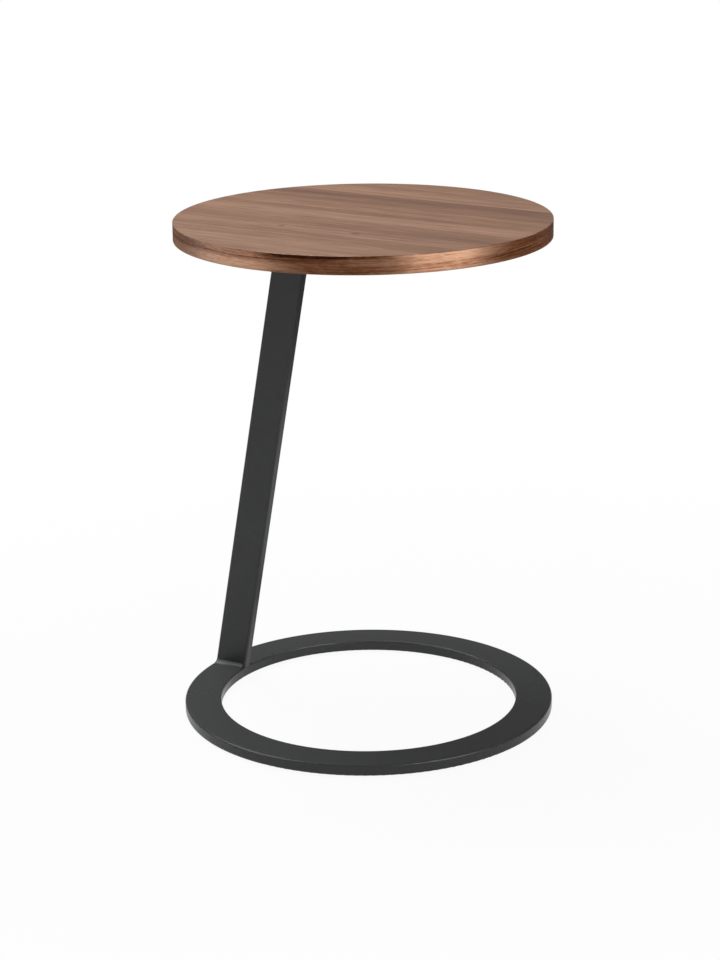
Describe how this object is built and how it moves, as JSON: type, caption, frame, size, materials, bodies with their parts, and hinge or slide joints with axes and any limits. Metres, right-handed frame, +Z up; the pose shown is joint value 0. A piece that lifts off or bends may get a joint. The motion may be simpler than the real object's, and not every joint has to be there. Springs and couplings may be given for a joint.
{
  "type": "side table",
  "caption": "Small round side table: a veneered walnut disc on a leaning flat-bar steel post that is welded to an open flat ring, in a C shape that slides over a seat or bed edge.",
  "frame": {"origin": "on the floor under the centre of the base ring, which is also the centre of the top", "axes": "+Z up, +X from the post towards the open side of the C, so the post leans in the XZ plane"},
  "size_m": [0.407, 0.407, 0.55],
  "materials": {
    "core_board": "raw board",
    "face_veneer": "satin lacquer",
    "underside_veneer": "satin lacquer",
    "edge_band": "satin lacquer",
    "coated_steel": "fine satin powder coat",
    "insert_metal": "zinc plated",
    "fastener_metal": "black oxide",
    "floor_pad": "matt"
  },
  "bodies": {
    "root": {"top_core": "core_board", "top_veneer": "face_veneer", "underside_veneer": "underside_veneer", "edge_band": "edge_band", "mounting_plate": "coated_steel", "post": "coated_steel", "base_ring": "coated_steel", "foot_weld_front": "coated_steel", "foot_weld_back": "coated_steel", "head_weld_front": "coated_steel", "head_weld_back": "coated_steel", "threaded_inserts": "insert_metal", "plate_washers": "fastener_metal", "plate_screws": "fastener_metal", "foot_pad_1": "floor_pad", "foot_pad_2": "floor_pad", "foot_pad_3": "floor_pad", "foot_pad_4": "floor_pad", "foot_pad_5": "floor_pad", "foot_pad_6": "floor_pad"}
  },
  "joints": []
}
